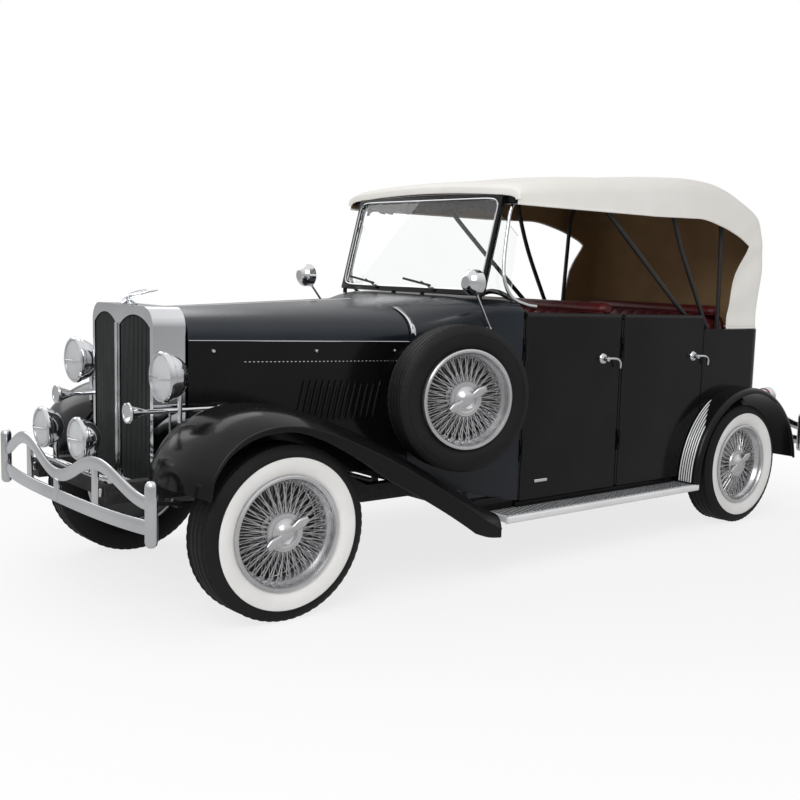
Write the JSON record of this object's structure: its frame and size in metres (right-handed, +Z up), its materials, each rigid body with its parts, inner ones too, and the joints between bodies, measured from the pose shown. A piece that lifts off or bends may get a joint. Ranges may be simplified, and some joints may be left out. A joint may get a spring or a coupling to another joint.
{
  "type": "electric sightseeing car",
  "caption": "Open four-door electric sightseeing car in the style of a 1930s tourer, with a cloth top, wire wheels, side-mounted spares and a chromed radiator.",
  "frame": {"origin": "on the ground under the middle of the car", "axes": "-Y is the front of the car, +X its left side, +Z up"},
  "size_m": [1.7296, 4.546, 2.0469],
  "materials": {
    "frame_black": "satin",
    "battery_case": "matte",
    "tyre": "matte",
    "chrome": "polished",
    "body_black": "gloss",
    "grille_dark": "satin",
    "lens_glass": "clear",
    "tail_red": "gloss",
    "tread_plate": "satin",
    "screen_black": "gloss",
    "clear_glass": "clear",
    "dash_wood": "varnished",
    "red_leather": "soft",
    "canopy_cloth": "woven"
  },
  "bodies": {
    "car_body": {"chassis_rails": "frame_black", "cross_members": "frame_black", "tow_members": "frame_black", "board_irons": "frame_black", "front_axle": "frame_black", "rear_axle": "frame_black", "leaf_springs": "frame_black", "battery_pack": "battery_case", "floor_pan": "frame_black", "spare_tyres": "tyre", "spare_wheels": "chrome", "firewall": "frame_black", "cowl": "body_black", "hood_sides": "body_black", "radiator_shell": "chrome", "radiator_grille": "grille_dark", "lamps": "chrome", "lamp_lenses": "lens_glass", "tail_lamps": "tail_red", "horns": "chrome", "front_bumper": "chrome", "rear_bumper": "chrome", "front_fenders": "body_black", "rear_fenders": "body_black", "stone_guards": "chrome", "running_boards": "tread_plate", "rear_body": "body_black", "tail_apron": "body_black", "windshield_frame": "screen_black", "windshield_glass": "clear_glass", "mirrors": "chrome", "dashboard": "dash_wood", "steering_column": "screen_black", "front_seat": "red_leather", "rear_seat": "red_leather", "canopy": "canopy_cloth", "canopy_bows": "screen_black"},
    "steer_left": {"knuckle_left": "frame_black"},
    "steer_right": {"knuckle_right": "frame_black"},
    "track_rod": {"tie_rod": "frame_black"},
    "front_left_wheel": {"tyre_front_left": "tyre", "wheel_front_left": "chrome"},
    "front_right_wheel": {"tyre_front_right": "tyre", "wheel_front_right": "chrome"},
    "rear_left_wheel": {"tyre_rear_left": "tyre", "wheel_rear_left": "chrome"},
    "rear_right_wheel": {"tyre_rear_right": "tyre", "wheel_rear_right": "chrome"},
    "front_left_door": {"door_front_left": "body_black"},
    "front_right_door": {"door_front_right": "body_black"},
    "rear_left_door": {"door_rear_left": "body_black"},
    "rear_right_door": {"door_rear_right": "body_black"},
    "left_hood": {"hood_left": "body_black"},
    "right_hood": {"hood_right": "body_black"},
    "hand_wheel": {"steering_wheel": "screen_black"}
  },
  "joints": [
    {"name": "left_steer", "type": "hinge", "parent": "car_body", "child": "steer_left", "pos_m": [0.565, -1.657, 0.36], "axis": [0, 0, 1], "range_deg": [-30, 30]},
    {"name": "right_steer", "type": "hinge", "parent": "car_body", "child": "steer_right", "pos_m": [-0.565, -1.657, 0.36], "axis": [0, 0, 1], "range_deg": [-30, 30]},
    {"name": "track_rod_pivot", "type": "hinge", "parent": "steer_left", "child": "track_rod", "pos_m": [0.565, -1.507, 0.284], "axis": [0, 0, 1], "range_deg": [-30, 30]},
    {"name": "hand_wheel_turn", "type": "hinge", "parent": "car_body", "child": "hand_wheel", "pos_m": [0.33, -0.097, 1.17], "axis": [0, 0.8829, 0.4695], "range_deg": [-360, 360]},
    {"name": "front_left_roll", "type": "hinge", "parent": "steer_left", "child": "front_left_wheel", "pos_m": [0.705, -1.657, 0.36], "axis": [1, 0, 0], "continuous": true},
    {"name": "front_right_roll", "type": "hinge", "parent": "steer_right", "child": "front_right_wheel", "pos_m": [-0.705, -1.657, 0.36], "axis": [1, 0, 0], "continuous": true},
    {"name": "rear_left_roll", "type": "hinge", "parent": "car_body", "child": "rear_left_wheel", "pos_m": [0.705, 1.493, 0.36], "axis": [1, 0, 0], "continuous": true},
    {"name": "rear_right_roll", "type": "hinge", "parent": "car_body", "child": "rear_right_wheel", "pos_m": [-0.705, 1.493, 0.36], "axis": [1, 0, 0], "continuous": true},
    {"name": "front_left_door_swing", "type": "hinge", "parent": "car_body", "child": "front_left_door", "pos_m": [0.725, -0.315, 0.7], "axis": [0, 0, -1], "range_deg": [0, 62]},
    {"name": "front_right_door_swing", "type": "hinge", "parent": "car_body", "child": "front_right_door", "pos_m": [-0.725, -0.315, 0.7], "axis": [0, 0, 1], "range_deg": [0, 62]},
    {"name": "rear_left_door_swing", "type": "hinge", "parent": "car_body", "child": "rear_left_door", "pos_m": [0.725, 0.415, 0.7], "axis": [0, 0, -1], "range_deg": [0, 62]},
    {"name": "rear_right_door_swing", "type": "hinge", "parent": "car_body", "child": "rear_right_door", "pos_m": [-0.725, 0.415, 0.7], "axis": [0, 0, 1], "range_deg": [0, 62]},
    {"name": "left_hood_lift", "type": "hinge", "parent": "car_body", "child": "left_hood", "pos_m": [0, -1.847, 1.225], "axis": [0, -0.9984, -0.0568], "range_deg": [0, 55]},
    {"name": "right_hood_lift", "type": "hinge", "parent": "car_body", "child": "right_hood", "pos_m": [0, -1.847, 1.225], "axis": [0, 0.9984, 0.0568], "range_deg": [0, 55]}
  ],
  "couplings": [
    {"joint": "right_steer", "follows": "left_steer", "ratio": 1},
    {"joint": "track_rod_pivot", "follows": "left_steer", "ratio": -1},
    {"joint": "hand_wheel_turn", "follows": "left_steer", "ratio": 12}
  ]
}
